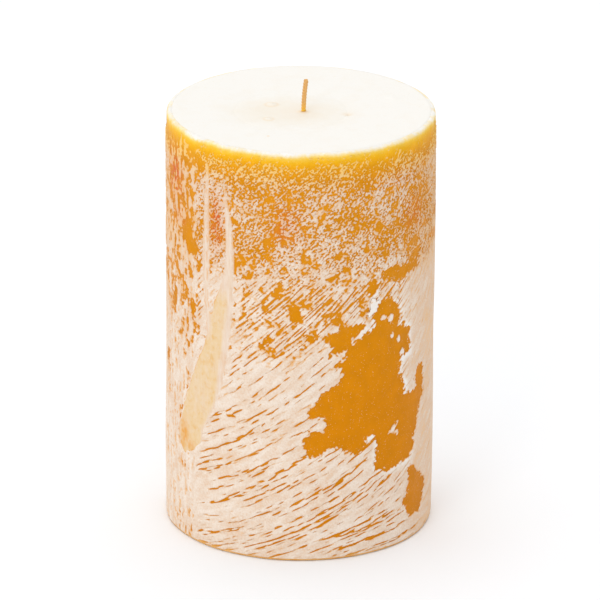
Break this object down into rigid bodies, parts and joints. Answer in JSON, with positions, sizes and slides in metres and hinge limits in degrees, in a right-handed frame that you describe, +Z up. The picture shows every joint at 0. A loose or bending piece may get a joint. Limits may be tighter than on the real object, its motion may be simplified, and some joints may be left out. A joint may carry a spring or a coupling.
{
  "type": "pillar candle",
  "caption": "Round ivory wax pillar with an amber dipped wall, a frosted outer crust that has flaked away in places, and a short waxed wick.",
  "frame": {"origin": "centre of the foot, on the plane the candle stands on", "axes": "+Z up along the candle's axis, -Y is the front with the large bare window to its right, +X is the candle's right side as seen from the front"},
  "size_m": [0.1, 0.1, 0.1728],
  "materials": {
    "wax_ivory": "satin",
    "wax_warm": "satin",
    "wax_amber": "satin",
    "wax_frost": "matte",
    "wax_white": "matte",
    "wax_pale": "satin",
    "wick_cotton": "matte",
    "tin_plate": "satin"
  },
  "bodies": {
    "root": {"wax_core": "wax_ivory", "second_pour": "wax_warm", "amber_overdip": "wax_amber", "frost_crust": "wax_frost", "frost_chips": "wax_frost", "curled_flake": "wax_white", "wax_run": "wax_pale", "wick": "wick_cotton", "wick_sustainer": "tin_plate"}
  },
  "joints": []
}
